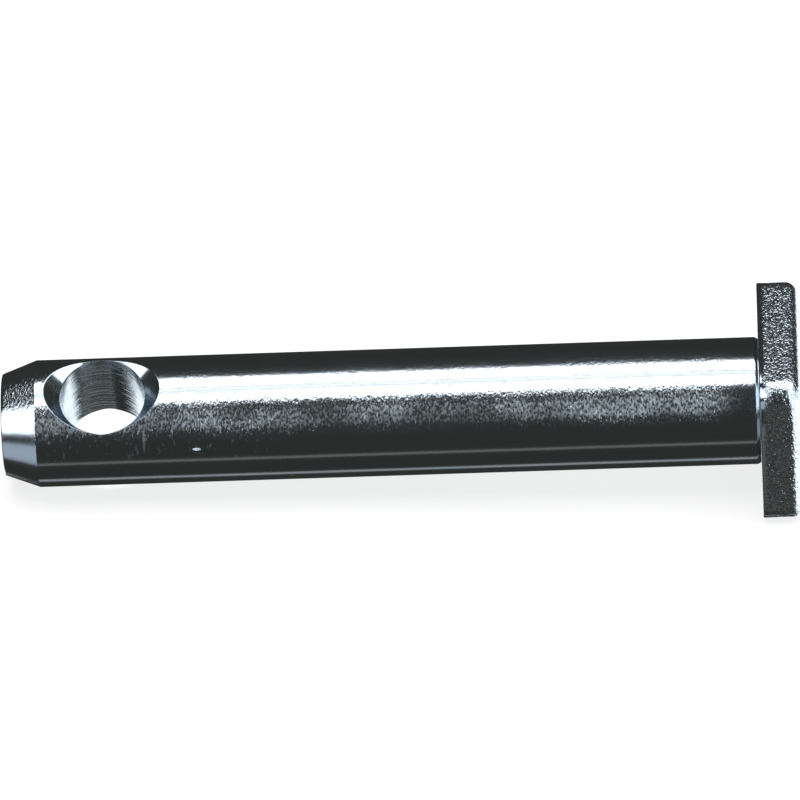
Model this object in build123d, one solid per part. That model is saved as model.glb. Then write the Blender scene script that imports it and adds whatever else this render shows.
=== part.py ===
from build123d import *
from math import atan2, cos, degrees, radians, sin, tan
import os

# Clevis pin: a round steel shank with a tapered tip, a large countersunk cross hole near the tip,
# and a thick square head. It is one piece, headed and turned from one bar.
# Lengths are in millimetres and angles in degrees.

# Shank, from the head's seat face to the flat end of the tip
shank_diameter = 20.0
shank_length = 119.1

# Tip: a plain cone with its small rim broken
taper_length = 5.5
taper_angle = 20.5           # between the cone's side and the shank's axis
tip_rim_radius = 0.35

# Cross hole, countersunk at both mouths
hole_diameter = 13.4
hole_from_tip = 16.0         # flat end of the tip to the hole's axis
countersink_depth = 2.45     # below the crown of the shank
countersink_angle = 90.0     # whole angle of the countersink
hole_turn = 17.5             # turn of the hole about the shank, from square to the head's top flat

# Neck: a narrow turned relief between the shank and the head, with one sloping wall
neck_depth = 1.0
neck_width = 0.55            # at the shank's surface
neck_floor_width = 0.25

# Head: a square plate, rounded at its four corners and all round its outer rim
head_width = 27.9            # across the flats
head_thickness = 6.3
head_corner_radius = 3.0
head_rim_radius = 1.8

# Worked out from the sizes above
shank_radius = shank_diameter / 2
tip_radius = shank_radius - taper_length * tan(radians(taper_angle))
neck_radius = shank_radius - neck_depth
taper_start = taper_length - shank_length

# Laid on a flat surface, the pin touches it with the head's inner edge and with the edge where
# the taper starts, so its axis slopes down to the tip.
rest_slope = degrees(atan2(head_width / 2 - shank_radius, -taper_start))


def turned_shank():
    """Half section of the shank, turned about the X axis; it runs on into the head."""
    tip_rim = (-shank_length, tip_radius)
    outline = Polyline(
        (-shank_length, 0),
        tip_rim,
        (taper_start, shank_radius),
        (-neck_width, shank_radius),
        (-neck_floor_width, neck_radius),
        (head_thickness / 2, neck_radius),
        (head_thickness / 2, 0),
        close=True,
    )
    section = make_face(outline)
    rim_point = section.vertices().sort_by_distance(Vector(*tip_rim, 0))[0]
    return revolve(fillet(rim_point, tip_rim_radius), Axis.X)


def square_head():
    """Plate standing on the seat face, rounded round the rim that faces away from the shank."""
    outline = RectangleRounded(head_width, head_width, head_corner_radius)
    plate = extrude(Plane.YZ * outline, head_thickness)
    outer_rim = plate.faces().sort_by(Axis.X)[-1].edges()
    return fillet(outer_rim, head_rim_radius)


def cross_hole():
    """Cutter for the hole: a cylinder that opens into a cone at each mouth, clear of the shank."""
    hole_radius = hole_diameter / 2
    cone_start = shank_radius - countersink_depth
    reach = shank_diameter
    mouth_radius = hole_radius + (reach - cone_start) * tan(radians(countersink_angle / 2))
    outline = Polyline(
        (0, -reach),
        (mouth_radius, -reach),
        (hole_radius, -cone_start),
        (hole_radius, cone_start),
        (mouth_radius, reach),
        (0, reach),
        close=True,
    )
    cutter = revolve(Plane.XZ * make_face(outline), Axis.Z)
    return Location((hole_from_tip - shank_length, 0, 0), (hole_turn, 0, 0)) * cutter


def lay_down(pin):
    """Slope the pin as it lies, then put the middle of its footprint at the origin."""
    sloped = Rotation(0, -rest_slope, 0) * pin
    box = sloped.bounding_box()
    lift = head_width / 2 * cos(radians(rest_slope))
    return Pos(-box.center().X, -box.center().Y, lift) * sloped


clevis_pin = lay_down(turned_shank() + square_head() - cross_hole())

os.makedirs("parts", exist_ok=True)
export_step(clevis_pin, "parts/clevis_pin.step")
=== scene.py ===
from math import cos, pi, radians, sin, tan

import bpy
import numpy as np
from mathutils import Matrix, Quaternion, Vector


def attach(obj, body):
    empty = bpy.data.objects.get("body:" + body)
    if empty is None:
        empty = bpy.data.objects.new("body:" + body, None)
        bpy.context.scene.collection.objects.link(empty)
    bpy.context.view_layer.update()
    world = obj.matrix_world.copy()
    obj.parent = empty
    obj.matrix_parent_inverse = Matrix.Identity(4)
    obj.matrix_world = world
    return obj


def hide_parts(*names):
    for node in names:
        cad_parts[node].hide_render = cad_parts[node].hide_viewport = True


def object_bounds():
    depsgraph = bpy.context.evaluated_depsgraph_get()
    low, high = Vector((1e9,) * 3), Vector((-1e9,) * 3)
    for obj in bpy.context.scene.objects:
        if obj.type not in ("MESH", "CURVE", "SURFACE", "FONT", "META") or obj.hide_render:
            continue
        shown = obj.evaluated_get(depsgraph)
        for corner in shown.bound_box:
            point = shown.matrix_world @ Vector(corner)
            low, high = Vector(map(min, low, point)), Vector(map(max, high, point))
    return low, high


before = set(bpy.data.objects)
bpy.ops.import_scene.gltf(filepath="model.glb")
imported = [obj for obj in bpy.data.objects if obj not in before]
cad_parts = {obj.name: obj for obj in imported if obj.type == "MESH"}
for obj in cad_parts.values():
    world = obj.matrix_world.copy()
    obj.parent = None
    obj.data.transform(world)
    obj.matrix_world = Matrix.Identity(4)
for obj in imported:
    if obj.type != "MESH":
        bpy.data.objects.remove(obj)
cad_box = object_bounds()
scene = bpy.context.scene
scene.view_settings.view_transform = "Standard"


# ---- Camera -------------------------------------------------------------------------------------
# A long lens, almost two metres away, looks down on the pin's side as it lies with its head to the
# right. The camera is held a little off level.

azimuth, elevation, roll = radians(0.881), radians(41.731), radians(-0.957)
away = Vector((sin(azimuth) * cos(elevation), -cos(azimuth) * cos(elevation), sin(elevation)))
camera_data = bpy.data.cameras.new("camera")
camera_data.lens = 521.0
camera = bpy.data.objects.new("camera", camera_data)
camera.location = Vector((-0.0003, 0.00125, 0.01338)) + 1.8222 * away
camera.rotation_mode = "QUATERNION"
camera.rotation_quaternion = (-away).to_track_quat("-Z", "Y") @ Quaternion((0, 0, 1), roll)
scene.collection.objects.link(camera)
scene.camera = camera


# ---- Studio -------------------------------------------------------------------------------------
# A white floor under a wide soft lamp. Bright zinc is almost a mirror, so most of what it shows is
# the room round it: dark, with a softbox overhead, screens at both ends and two narrow strips of
# light low in front. The room and its cards are met only by mirror rays, and light nothing else.

class Value:
    """A number that varies over a surface. Arithmetic on it adds Math nodes."""

    def __init__(self, nodes, socket):
        self.nodes, self.socket = nodes, socket

    def math(self, operation, *others):
        settings = {"operation": operation}
        return self.nodes.make("ShaderNodeMath", settings, dict(enumerate((self, *others))))

    def __add__(self, other):
        return self.math("ADD", other)

    def __sub__(self, other):
        return self.math("SUBTRACT", other)

    def __rsub__(self, other):
        return self.math("MULTIPLY_ADD", -1.0, other)

    def __mul__(self, other):
        return self.math("MULTIPLY", other)

    __radd__, __rmul__ = __add__, __mul__

    def rise(self, low, high):
        """0 up to low, 1 from high on, and eased between them."""
        return self.nodes.make("ShaderNodeMapRange", {"interpolation_type": "SMOOTHSTEP"},
                               {"Value": self, "From Min": low, "From Max": high})


class Nodes:
    """The node tree of a material or of the world."""

    def __init__(self, owner):
        owner.use_nodes = True
        self.tree = owner.node_tree
        self.tree.nodes.clear()

    def make(self, kind, settings={}, sockets={}, out=0):
        """One node: its settings first, then the values or links of its sockets."""
        node = self.tree.nodes.new(kind)
        for name, value in settings.items():
            setattr(node, name, value)
        for name, value in sockets.items():
            if isinstance(value, Value):
                self.tree.links.new(value.socket, node.inputs[name])
            else:
                node.inputs[name].default_value = value
        return Value(self, node.outputs[out]) if node.outputs else node

    def finish(self, shader, kind="Material"):
        self.make("ShaderNodeOutput" + kind, {}, {"Surface": shader})

    def vector(self, operation, a, b=(0.0, 0.0, 0.0), out=0):
        return self.make("ShaderNodeVectorMath", {"operation": operation}, {0: a, 1: b}, out)

    def dot(self, a, b):
        return self.vector("DOT_PRODUCT", a, b, 1)

    def coordinate(self, place, axis):
        """One of the place's three numbers: 0 for x, 1 for y and 2 for z."""
        return self.make("ShaderNodeSeparateXYZ", {}, {0: place}, axis)

    def noise(self, place, per_mm, shift=0.0, detail=2.0, roughness=0.5):
        """Noise from 0 to 1, with this many lumps to a millimetre along x, y and z."""
        stretched = self.vector("MULTIPLY", place, per_mm)
        moved = self.vector("ADD", stretched, (shift, shift, shift))
        return self.make("ShaderNodeTexNoise", {}, {
            "Vector": moved, "Scale": 1.0, "Detail": detail, "Roughness": roughness})


def stage_object(name, points, faces, material):
    """Something that stands in the studio and isn't part of the pin."""
    mesh = bpy.data.meshes.new(name)
    mesh.from_pydata(points, [], faces)
    mesh.materials.append(material)
    thing = bpy.data.objects.new(name, mesh)
    scene.collection.objects.link(thing)
    return thing


def card(name, low, high, left, right, colour, strength, reach=0.6, soft=1.0):
    """A card on a ball round the pin, met only by mirror rays. Low and high are degrees from the
    front, up over the top; left and right are degrees towards the tip and towards the head. The
    light fades over the last few soft degrees at low and high."""
    rise, side = np.radians(np.meshgrid(np.linspace(low, high, 25), np.linspace(left, right, 25)))
    ball = reach * np.stack([np.sin(side), -np.cos(side) * np.cos(rise), np.cos(side) * np.sin(rise)], -1)
    index = np.arange(rise.size).reshape(rise.shape)
    quads = np.stack([index[:-1, :-1], index[1:, :-1], index[1:, 1:], index[:-1, 1:]], -1)
    material = bpy.data.materials.new(name)
    nodes = Nodes(material)
    place = nodes.make("ShaderNodeTexCoord", out=3)
    middle, half = radians(low + high) / 2, radians(high - low) / 2
    across = (0, sin(middle), cos(middle))
    forward = (0, -cos(middle), sin(middle))
    off_middle = nodes.dot(place, across).math("ARCTAN2", nodes.dot(place, forward)).math("ABSOLUTE")
    power = (1 - off_middle.rise(half - radians(soft), half)) * strength
    nodes.finish(nodes.make("ShaderNodeEmission", {}, {"Color": (*colour, 1), "Strength": power}))
    thing = stage_object(name, ball.reshape(-1, 3), quads.reshape(-1, 4).tolist(), material)
    thing.visible_camera = thing.visible_diffuse = thing.visible_shadow = False
    thing.visible_transmission = thing.visible_volume_scatter = False
    return thing


floor_paint = bpy.data.materials.new("floor")
nodes = Nodes(floor_paint)
white = nodes.make("ShaderNodeBsdfDiffuse", {}, {"Color": (0.25, 0.25, 0.25, 1)})
camera_ray = nodes.make("ShaderNodeLightPath")
floor_glow = nodes.make("ShaderNodeEmission", {}, {"Strength": camera_ray * 0.8})
nodes.finish(nodes.make("ShaderNodeAddShader", {}, {0: white, 1: floor_glow}))
floor_corners = [(-3, -3, 0), (3, -3, 0), (3, 3, 0), (-3, 3, 0)]
floor = stage_object("floor", floor_corners, [(0, 1, 2, 3)], floor_paint)
floor.visible_glossy = False

world = bpy.data.worlds.new("studio")
scene.world = world
nodes = Nodes(world)
ambient = 0.35
rays = nodes.make("ShaderNodeLightPath").socket.node.outputs
white_for = ("Is Camera Ray", "Is Glossy Ray", "Is Transmission Ray")
seen = sum(Value(nodes, rays[name]) for name in white_for)
background = nodes.make("ShaderNodeBackground", {}, {"Strength": seen * (1 - ambient) + ambient})
nodes.finish(background, "World")
world.cycles.sampling_method = "NONE"

lamp_data = bpy.data.lights.new("lamp", "AREA")
lamp_data.shape, lamp_data.size, lamp_data.size_y = "RECTANGLE", 1.6, 1.2
lamp_data.energy = 26.0
lamp = bpy.data.objects.new("lamp", lamp_data)
lamp.location = (0.1, 0.1, 1.3)
lamp.visible_camera = lamp.visible_glossy = False
scene.collection.objects.link(lamp)

card("room", -180, 180, -90, 90, (0.034, 0.036, 0.031), 1.0, reach=1.0, soft=0.01)
for low, high in ((73.5, 91.9), (93.1, 97.1), (98.5, 121.0)):     # cloth in three widths
    card(f"softbox_{low:.0f}", low, high, -30, 62, (1.0, 1.0, 1.0), 2.4, soft=1.0)
card("screen_left", 16, 80, -88, -30, (0.95, 0.98, 1.0), 1.9, soft=4.0)
card("screen_right", 17, 88, 28, 37.9, (0.95, 0.98, 1.0), 1.9, soft=4.0)
card("screen_right_far", -150, 88, 38, 82, (0.88, 0.95, 1.0), 1.9, soft=4.0)
card("low_left", -50, -3, -62, -27, (0.80, 0.90, 1.0), 0.55, soft=4.0)
card("back_right", -155, -106, 17, 37.9, (0.95, 0.98, 1.0), 1.6, soft=3.0)
card("back_left", -155, -106, -50, -19, (0.95, 0.98, 1.0), 1.6, soft=3.0)
card("strip_front", -42, -34, -30, 30, (1.0, 0.96, 0.84), 0.20, soft=2.5)
card("strip_below", -92, -80, -16, 30, (0.97, 0.98, 0.95), 0.38, soft=4.0)


# ---- Tip ----------------------------------------------------------------------------------------
# The tapered end that finds its way into the hole: a flat end with a small round at its rim, and a
# plain turned cone. It is turned on the same bar as the shank.

columns = 320                     # round the shank
bar_radius = 10.0
tip_end, taper_start = -119.1, -113.6
taper_angle, tip_rim = radians(20.5), 0.35
edge_break = 0.1                  # rounding of an edge that is sharp to the eye

pin_surfaces = []
along = np.array([1.0, 0.0, 0.0])


def out_at(turn):
    """Unit vectors square to the pin's length, at a turn from straight up towards the front."""
    return np.stack([0 * turn, -np.sin(turn), np.cos(turn)], -1)


def unit(vectors):
    return vectors / np.maximum(np.linalg.norm(vectors, axis=-1, keepdims=True), 1e-12)


def add_surface(points, normals, metal):
    """A closed band of rows of points. The last point of each row runs on to its first."""
    pin_surfaces.append((points, np.broadcast_to(normals, points.shape), metal))


def steps(count, extra):
    return np.linspace(0, 1, count + 1).reshape(-1, *[1] * extra)


def rows_between(start, end, count):
    return start + steps(count, start.ndim) * (end - start)


def broken_edge(start, edge, end, start_normal, end_normal, count=5):
    """The short curve that rounds an edge off between two faces, and the normals on it."""
    t = steps(count, np.ndim(start))
    points = (1 - t) ** 2 * start + 2 * t * (1 - t) * edge + t ** 2 * end
    return points, unit((1 - t) * start_normal + t * end_normal)


def turned(profile, normals):
    """A profile of points and normals (along, out) turned about the pin's length."""
    normals = np.broadcast_to(normals, profile.shape)
    return [values[:, None, :1] * along + values[:, None, 1:] * out_at(turns)
            for values in (profile, normals)]


hole_turn = radians(17.5)
turns = hole_turn + 2 * pi * np.arange(columns) / columns

cone_way = np.array([cos(taper_angle), sin(taper_angle)])
cone_out = np.array([-sin(taper_angle), cos(taper_angle)])
shank_edge = np.array([taper_start, bar_radius])
tip_corner = shank_edge - cone_way * (taper_start - tip_end) / cos(taper_angle)
rim_reach = tip_rim * tan((pi / 2 - taper_angle) / 2)
rim_middle = np.array([tip_end + tip_rim, tip_corner[1] - rim_reach])
bend = np.linspace(0, pi / 2 - taper_angle, 9)
rim_out = np.stack([-np.cos(bend), np.sin(bend)], -1)
cone_start, cone_end = rim_middle + tip_rim * rim_out[-1], shank_edge - edge_break * cone_way
hole_from, hole_to = taper_start + edge_break, -92.7

end_face = rows_between(np.array([tip_end, 0]), rim_middle - (tip_rim, 0), 3)
add_surface(*turned(end_face, (-1.0, 0)), "zinc_tip")
add_surface(*turned(rim_middle + tip_rim * rim_out, rim_out), "zinc_tip")
add_surface(*turned(rows_between(cone_start, cone_end, 8), cone_out), "zinc_tip")
edge_points, edge_normals = broken_edge(cone_end, shank_edge, np.array([hole_from, bar_radius]),
                                        cone_out, np.array([0, 1.0]))
add_surface(*turned(edge_points, edge_normals), "zinc_shank")


zinc_colour = (0.62, 0.70, 0.78, 1)


def zinc(name, roughness, bump=None, bump_depth=0.0):
    """Bright zinc plating. Roughness and bump are functions of the place on the pin, which is in
    millimetres along it from the head's seat and across it. The bump's depth is in metres."""
    material = bpy.data.materials.new(name)
    nodes = Nodes(material)
    place = nodes.make("ShaderNodeAttribute", {"attribute_name": "pin_place"}, out=1)
    sockets = {"Base Color": zinc_colour, "Metallic": 1.0, "Roughness": roughness(nodes, place)}
    if bump:
        height = bump(nodes, place)
        sockets["Normal"] = nodes.make("ShaderNodeBump", {}, {"Distance": bump_depth, "Height": height})
    nodes.finish(nodes.make("ShaderNodeBsdfPrincipled", {}, sockets))


def round_from(nodes, place, turn):
    """Cosine of the way round the bar from the line at this turn, in degrees from straight up."""
    round_way = nodes.vector("MULTIPLY", place, (0.0, 1.0, 1.0))
    out = nodes.vector("NORMALIZE", round_way)
    line = (0.0, -sin(radians(turn)), cos(radians(turn)))
    return nodes.dot(out, line)


def tip_bump(nodes, place):
    """Fine grain, rubbed up along the cone's top. The flat end is left as it was turned."""
    on_cone = nodes.coordinate(place, 0).rise(-118.9, -118.5)
    rubbed = round_from(nodes, place, 14).rise(0.90, 0.98) * on_cone * 1.4 + 0.12
    return nodes.noise(place, (3.0, 1.5, 1.5), 4.1, 3.0) * rubbed


def tip_roughness(nodes, place):
    return nodes.noise(place, (3.0, 1.5, 1.5), 8.8) * 0.12 + 0.12


zinc("zinc_tip", tip_roughness, tip_bump, 0.00008)


# ---- Cross hole ---------------------------------------------------------------------------------
# The hole for the split pin, bored across the shank and countersunk at both mouths. A mouth is
# where the countersink's cone meets the round of the shank, so it is long across the pin.

hole_at, hole_radius = -103.1, 6.7
countersink_depth = 2.45
least_countersink = 0.05          # at the mouth's sides, where the cone runs out

# Round each mouth, a block of the shank is divided into rays from the hole's axis. Its outer end is
# the block's square edge (a quarter turn each way, and from hole_from to hole_to).
quarter, ends = columns // 4, 40
block_turn = np.linspace(-pi / 2, pi / 2, 2 * quarter + 1)[:-1]
block_way = (hole_to - hole_from) / 2 * np.linspace(-1, 1, ends + 1)[:-1]
block_end = np.full(2 * quarter, (hole_to - hole_from) / 2)
block_side = np.full(ends, pi / 2)
block_middle = (hole_from + hole_to) / 2
ray_x = np.concatenate([block_end, -block_way, -block_end, block_way]) + block_middle - hole_at
ray_turn = np.concatenate([block_turn, block_side, -block_turn, -block_side])
ray = np.arctan2(ray_turn * bar_radius, ray_x)
ray_cos, ray_sin = np.cos(ray), np.sin(ray)

# The cone's radius r is at a height r + cone_foot above the axis, and the shank's surface along the
# same ray at the root of bar_radius^2 - (r sin)^2. They meet where the two heights are equal.
cone_foot = bar_radius - countersink_depth - hole_radius
lean = ray_sin ** 2
root = np.sqrt(cone_foot ** 2 + (1 + lean) * (bar_radius ** 2 - cone_foot ** 2))
mouth = (root - cone_foot) / (1 + lean)
smallest = hole_radius + least_countersink
mouth = smallest + np.logaddexp(0, (mouth - smallest) * 40) / 40
mouth_height = np.sqrt(bar_radius ** 2 - mouth ** 2 * lean)
foot_height = mouth_height - (mouth - hole_radius)
hole_break = np.minimum(0.07, 0.35 * (mouth - hole_radius))      # rounding of the mouth's edges
bore_break = 0.12                 # and of the bore's edge, down the bore

for side in (0, pi):
    hole_out, hole_side = out_at(np.array(hole_turn + side)), out_at(np.array(hole_turn + side + pi / 2))
    hole_inward = -(ray_cos[:, None] * along + ray_sin[:, None] * hole_side)
    cone_normal = unit(hole_inward + hole_out)

    def in_hole(radius, height):
        """Points at a radius from the hole's axis and a height along it."""
        radius, height = (np.asarray(value)[..., None] for value in np.broadcast_arrays(radius, height))
        return hole_at * along - radius * hole_inward + height * hole_out

    def on_bar(x, turn):
        return (x + 0 * turn)[..., None] * along + bar_radius * out_at(hole_turn + side + turn)

    lip = mouth + hole_break
    lip_x, lip_turn = hole_at + lip * ray_cos, np.arcsin(lip * ray_sin / bar_radius)
    t = 1 - (1 - steps(10, 1)) ** 1.6
    block_turns = ray_turn + t * (lip_turn - ray_turn)
    add_surface(on_bar(hole_at + ray_x + t * (lip_x - hole_at - ray_x), block_turns),
                out_at(hole_turn + side + block_turns), "zinc_shank")
    add_surface(*broken_edge(on_bar(lip_x, lip_turn), in_hole(mouth, mouth_height),
                             in_hole(mouth - hole_break, mouth_height - hole_break),
                             out_at(hole_turn + side + lip_turn), cone_normal), "zinc_shank")
    low_radius, low_height = hole_radius + hole_break, foot_height + hole_break
    bore_top = foot_height - bore_break
    add_surface(rows_between(in_hole(mouth - hole_break, mouth_height - hole_break),
                             in_hole(low_radius, low_height), 5), cone_normal, "zinc_countersink")
    add_surface(*broken_edge(in_hole(low_radius, low_height), in_hole(hole_radius, foot_height),
                             in_hole(hole_radius, bore_top), cone_normal, hole_inward), "zinc_countersink")
    add_surface(in_hole(hole_radius, bore_top * (1 - steps(8, 1))), hole_inward, "zinc_bore")


def bore_bump(nodes, place):
    """The drill's chatter: rings round the hole, a little ragged."""
    height = nodes.dot(place, tuple(out_at(np.array(hole_turn))))
    ring = nodes.make("ShaderNodeCombineXYZ", {}, {"X": height * 3.6})
    ragged = nodes.vector("MULTIPLY", place, (0.3, 0.2, 0.2))
    return nodes.noise(nodes.vector("ADD", ring, ragged), (1, 1, 1), 2.2, 1.0)


zinc("zinc_countersink", lambda nodes, place: nodes.noise(place, (1.2, 1.2, 1.2), 6.1) * 0.1 + 0.08)
zinc("zinc_bore", lambda nodes, place: nodes.noise(place, (1.0, 1.0, 1.0), 2.1) * 0.2 + 0.1,
     bore_bump, 0.00007)


# ---- Shank --------------------------------------------------------------------------------------
# Bright round bar, zinc plated, running plain from the hole to the neck: a narrow turned relief
# with one sloping wall, which lets the head seat flat. Its plating is dull in a stripe along the
# upper front, and handling has marked it.

neck_radius = 9.74
neck_edge, neck_foot = np.array([-0.55, bar_radius]), np.array([-0.10, neck_radius])
end_break = 0.2                   # rounding of the shank's end, larger than elsewhere
wall_way = unit(neck_foot - neck_edge)
wall_out = np.array([-wall_way[1], wall_way[0]])
shank_end, wall_start = neck_edge - (end_break, 0), neck_edge + end_break * wall_way
shank_start = np.array([hole_to, bar_radius])
add_surface(*turned(rows_between(shank_start, shank_end, 14), (0, 1.0)), "zinc_shank")
end_points, end_normals = broken_edge(shank_end, neck_edge, wall_start, np.array([0, 1.0]), wall_out)
add_surface(*turned(end_points, end_normals), "zinc_shank")
add_surface(*turned(rows_between(wall_start, neck_foot, 3), wall_out), "zinc_neck")
add_surface(*turned(rows_between(neck_foot, np.array([0, neck_radius]), 2), (0, 1.0)), "zinc_neck")

# A nick and a mark round the bar: each has its place along the pin, its turn in degrees from
# straight up towards the front, and half its size along and across.
nick = (-88.4, 77, 0.7, 0.35)
ring_mark = (-96.6, 69, 0.25, 2.2)
nick_height = bar_radius * cos(radians(nick[1]))


def mark(nodes, place, at, turn, length, width):
    """1 on a small mark on the shank, and 0 round it."""
    middle = at * along + bar_radius * out_at(np.array(radians(turn)))
    offset = nodes.vector("SUBTRACT", place, tuple(middle))
    part = nodes.vector("MULTIPLY", offset, (1 / length, 1 / width, 1 / width))
    distance = nodes.vector("LENGTH", part, out=1)
    return 1 - distance.rise(0.7, 1.0)


def shank_dull(nodes, place):
    """How dull the plating is: a patchy stripe along the upper front with a ragged edge, a fainter
    one below it and a trace of one above, and bright next to the head."""
    broad = nodes.noise(place, (0.10, 0.13, 0.13), 3.1, 3.0).rise(0.35, 0.65)
    ragged = nodes.noise(place, (0.9, 0.9, 0.9), 6.6, 3.0) * 0.05
    x = nodes.coordinate(place, 0)
    patchy = (broad * 0.4 + 0.6 + x.rise(-50, -25) * 0.25) * (1 - x.rise(-9, -1) * 0.75)
    stripe = (round_from(nodes, place, 48) + ragged).rise(0.935, 1.01)
    below = (round_from(nodes, place, 62) + ragged).rise(0.95, 1.02)
    edge = (round_from(nodes, place, 3) + ragged).rise(0.965, 1.02)
    return patchy * (stripe + below * 0.25 + edge * 0.4 + 0.03)


def shank_roughness(nodes, place):
    """Fine specks on the dull stripe, most along its core, and a few flecks round the hole."""
    speck = nodes.noise(place, (3.6, 2.0, 2.0), 7.7, 2.0).rise(0.36, 0.72)
    core = round_from(nodes, place, 49.5).rise(0.980, 0.998)
    fleck = nodes.noise(place, (1.9, 0.9, 0.9), 4.4, 2.0).rise(0.56, 0.74)
    in_front = round_from(nodes, place, 68).rise(0.93, 0.98)
    near_hole = 1 - nodes.coordinate(place, 0).rise(-85, -70) * 0.85
    marks = mark(nodes, place, *nick) + mark(nodes, place, *ring_mark)
    dull_part = shank_dull(nodes, place) * (0.03 + speck * 0.12 + core * (speck * 0.17 + 0.04))
    return 0.13 + dull_part + fleck * in_front * near_hole * 0.28 + marks * 0.25


def shank_bump(nodes, place):
    """Short turned streaks where the plating is dull. The nick's floor leans back to face up."""
    streak = nodes.noise(place, (3.0, 1.2, 1.2), 1.9, 1.0)
    grain = nodes.noise(place, (3.8, 2.2, 2.2), 5.3, 1.0)
    nick_floor = mark(nodes, place, *nick) * (nick_height - nodes.coordinate(place, 2)) * 15
    return (streak + grain * 0.7) * shank_dull(nodes, place) + nick_floor


zinc("zinc_shank", shank_roughness, shank_bump, 0.00007)
zinc("zinc_neck", lambda nodes, place: nodes.noise(place, (1.0, 1.0, 1.0), 5.1) * 0.1 + 0.12)


# ---- Head ---------------------------------------------------------------------------------------
# A thick square plate, hot headed on the bar and left as forged: its sides are pitted all over
# under the plating, and its outer rim is well rounded.

head_half, head_thick = 13.95, 6.3
corner_radius, rim_radius = 3.0, 1.8
seat_break = 0.25
pit_depth = 0.045
smooth_strip = 0.7                # by the seat, where the skin has no pits
face_ring = 0.72                  # the share of the outer face, from its middle, that is plain
fade_rows = 6
blunt_seat, blunt_rim = 1.0, 0.6      # how far the near corner falls short at the seat and the rim
head_columns = 2 * columns
flat_half = head_half - corner_radius
quarter_way = 2 * flat_half + corner_radius * pi / 2

# The outline starts where the hole's turn meets the top flat, and goes round in even steps. Each
# quarter of it is one flat and the corner after it.
whole_way = head_half * tan(hole_turn) + 4 * quarter_way * np.arange(head_columns) / head_columns
quarters = np.floor((whole_way + flat_half) / quarter_way)
way = whole_way - quarters * quarter_way
corner_bend = np.clip((way - flat_half) / corner_radius, 0, pi / 2)
outward = out_at(quarters * pi / 2 + corner_bend)
corner_middle = flat_half * out_at(quarters * pi / 2) \
    + np.minimum(way, flat_half)[:, None] * out_at((quarters + 1) * pi / 2)
outline = corner_middle + corner_radius * outward


def near_corner(reach_above, reach_below):
    """1 at the corner between the top and the front, fading with the way round the outline."""
    from_corner = whole_way - flat_half - corner_radius * pi / 4
    away_from = (from_corner + 2 * quarter_way) % (4 * quarter_way) - 2 * quarter_way
    return np.exp(-(away_from / np.where(away_from > 0, reach_below, reach_above)) ** 2)


def short_of(depth):
    """How far the skin at this depth from the seat stays inside the full square, at each column."""
    seat_part = np.clip(1 - depth / 2.7, 0, 1) ** 2
    rim_part = np.clip((depth - 2.9) / (head_thick - 2.9), 0, 1) ** 2
    return blunt_seat * near_corner(3.0, 3.8) * seat_part + blunt_rim * near_corner(2.5, 3.5) * rim_part


def lumps(places, size, seed):
    """Smooth heights from 0 to 1: a number scrambled from its place at each corner of a grid of
    cubes of this size, eased from corner to corner."""
    cell = np.floor(places / size + seed)
    part = places / size + seed - cell
    part = part * part * (3 - 2 * part)
    total = 0
    for corner in np.ndindex(2, 2, 2):
        mixed = np.sin((cell + corner) @ (127.1, 311.7, 74.7)) * 43758.5453
        total = total + (mixed - np.floor(mixed)) * np.where(corner, part, 1 - part).prod(-1)
    return total


def pitted(points, normals, strength):
    """The forged skin: dents of two sizes pressed in along the normals, and the normals after it."""
    dents = np.clip(lumps(points, 0.5, 11.3) * 2 - 0.8, 0, 1) + 0.4 * lumps(points, 0.26, 5.7)
    skin = points - (pit_depth * strength * dents)[..., None] * normals
    down = np.gradient(skin, axis=0)
    across = np.roll(skin, -1, 1) - np.roll(skin, 1, 1)
    return skin, unit(np.cross(across, down))


depth = np.linspace(seat_break, head_thick - rim_radius, 29)[:, None]
bend = np.linspace(0, pi / 2, 15)[1:, None]
scale = np.linspace(1, face_ring, 16)[1:, None]
rim_depth = head_thick - rim_radius + rim_radius * np.sin(bend)
inset = np.concatenate([0 * depth, rim_radius * (1 - np.cos(bend)), np.full_like(scale, rim_radius)])
depths = np.concatenate([depth, rim_depth, np.full_like(scale, head_thick)])
tilt = np.concatenate([0 * depth, bend, np.full_like(scale, pi / 2)])
on_sides = np.ones((len(depths) - len(scale), 1))
shrink = np.concatenate([on_sides, scale])
short = short_of(depths) * np.concatenate([on_sides, np.linspace(1, 0, len(scale))[:, None]])
skin = shrink[..., None] * (outline - (inset + short)[..., None] * outward) + depths[..., None] * along
skin_normals = np.cos(tilt)[..., None] * outward + np.sin(tilt)[..., None] * along
strength = np.clip((depths - smooth_strip) / smooth_strip, 0, 1)
strength[-fade_rows:] *= np.linspace(1, 0, fade_rows)[:, None]
skin, skin_normals = pitted(skin, skin_normals, strength)
skin_normals[-1] = along

seat_ring = np.repeat(neck_radius * out_at(turns), 2, axis=0)
seat_edge = outline - short_of(np.zeros((1, 1))).T * outward
seat_end = seat_edge - seat_break * outward
seat_first = seat_ring + 0.1 * (seat_end - seat_ring)
add_surface(np.stack([seat_ring, seat_first]), -along, "zinc_head")
add_surface(rows_between(seat_first, seat_end, 5), -along, "zinc_head")
add_surface(*broken_edge(seat_end, seat_edge, skin[0], -along, skin_normals[0]), "zinc_head")
add_surface(skin, skin_normals, "zinc_head")

# The outer face closes in to its middle by rings, each with half as many places round it as the
# last. A ring's first row drops every other place.
face_middle = head_thick * along
start, row = face_ring, skin[-1]
for end in (0.4, 0.18, 0.0):
    next_scale = start - 0.03
    kept_places = (row[::2] - face_middle) * next_scale / start + face_middle
    next_row = np.repeat(kept_places, 2, axis=0)
    add_surface(np.stack([row, next_row]), along, "zinc_head")
    row = next_row[::2]
    last = (row - face_middle) * end / next_scale + face_middle
    add_surface(rows_between(row, last, 4), along, "zinc_head")
    start, row = end, last


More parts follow.
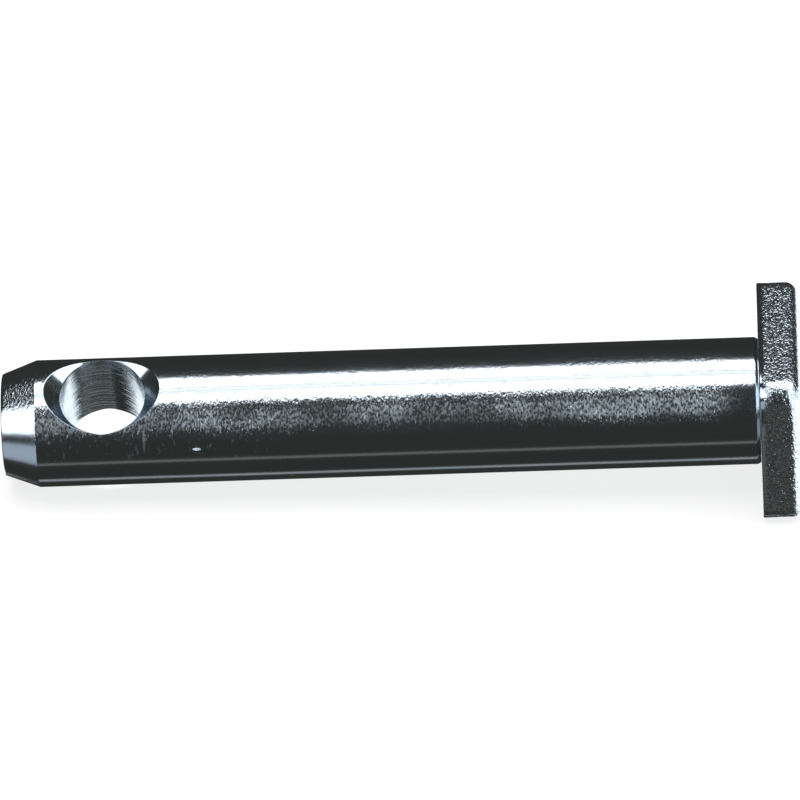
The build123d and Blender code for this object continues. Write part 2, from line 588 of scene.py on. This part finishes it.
def head_roughness(nodes, place):
    """Speckled, and even in a strip by the seat."""
    speck = nodes.noise(place, (3.4, 3.4, 3.4), 7.1, 1.0).rise(0.3, 0.7)
    return 0.13 + (speck * 0.13 + 0.03) * nodes.coordinate(place, 0).rise(0.4, 1.4)


def head_bump(nodes, place):
    """Forged pits, their grid pulled about so that it doesn't show, and a smooth strip by the seat."""
    pull = nodes.make("ShaderNodeTexNoise", {}, {"Vector": place, "Scale": 1.5}, out=1)
    warped = nodes.vector("ADD", place, nodes.vector("MULTIPLY", pull, (0.5, 0.5, 0.5)))
    pit = nodes.make("ShaderNodeTexVoronoi", {"feature": "F1"}, {"Vector": warped, "Scale": 2.3})
    skin = pit.rise(0.05, 0.55) + nodes.noise(place, (4.5, 4.5, 4.5), 9.1, 1.0) * 0.5
    return skin * nodes.coordinate(place, 0).rise(0.3, 1.3)


zinc("zinc_head", head_roughness, head_bump, 0.000045)


# ---- Pin ----------------------------------------------------------------------------------------
# The surfaces are sewn into one closed skin and laid down as the pin lies: on the head's lower edge
# and on the edge where the taper starts. It is all one piece of plated steel.

slope = np.arctan2(head_half - bar_radius, -taper_start)
lift = head_half * cos(slope)
reach = (head_thick - rim_radius) * cos(slope) + (head_half - rim_radius) * sin(slope) + rim_radius
x_shift = cad_box[1].x * 1000 - reach


def lay_down(vectors):
    x, y, z = np.moveaxis(vectors, -1, 0)
    return np.stack([x * cos(slope) - z * sin(slope), y, x * sin(slope) + z * cos(slope)], -1)


metals = ["zinc_tip", "zinc_shank", "zinc_countersink", "zinc_bore", "zinc_neck", "zinc_head"]
points, normals, quads, metal_of = [], [], [], []
count = 0
for places, outs, metal in pin_surfaces:
    index = np.arange(places.shape[0] * places.shape[1]).reshape(places.shape[:2])
    beside = np.roll(index, -1, 1)
    band = np.stack([index[:-1], beside[:-1], beside[1:], index[1:]], -1).reshape(-1, 4)
    flat, flat_outs = places.reshape(-1, 3), outs.reshape(-1, 3)
    a, b, c, d = np.moveaxis(flat[band], 1, 0)
    if (np.cross(c - a, d - b) * flat_outs[band[:, 0]]).sum() < 0:
        band = band[:, ::-1]
    points.append(flat)
    normals.append(flat_outs)
    quads.append(band + count)
    metal_of.append(np.full(len(band), metals.index(metal)))
    count += len(flat)
points, normals = np.concatenate(points), np.concatenate(normals)
quads, metal_of = np.concatenate(quads), np.concatenate(metal_of)

# Points of neighbouring surfaces that share a place become one. A face whose corners fall together
# loses them, so it ends as a triangle, or goes.
_, first, same = np.unique(np.round(points, 4), axis=0, return_index=True, return_inverse=True)
corners = same.reshape(-1)[quads]
kept = corners != np.roll(corners, 1, 1)
real = kept.sum(1) >= 3
quads, corners, kept, metal_of = quads[real], corners[real], kept[real], metal_of[real]
sizes = kept.sum(1)

mesh = bpy.data.meshes.new("pin")
for metal in metals:
    mesh.materials.append(bpy.data.materials[metal])
mesh.vertices.add(len(first))
mesh.vertices.foreach_set("co", ((lay_down(points[first]) + (x_shift, 0, lift)) / 1000).ravel())
mesh.loops.add(int(sizes.sum()))
mesh.loops.foreach_set("vertex_index", corners[kept])
mesh.polygons.add(len(sizes))
mesh.polygons.foreach_set("loop_start", np.cumsum(sizes) - sizes)
mesh.polygons.foreach_set("material_index", metal_of)
mesh.polygons.foreach_set("use_smooth", np.ones(len(sizes), bool))
mesh.update(calc_edges=True)
mesh.normals_split_custom_set(lay_down(normals[quads[kept]]))
pin_place = mesh.attributes.new("pin_place", "FLOAT_VECTOR", "POINT")
pin_place.data.foreach_set("vector", points[first].ravel())
pin = bpy.data.objects.new("pin", mesh)
scene.collection.objects.link(pin)
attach(pin, "root")
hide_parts("clevis_pin")
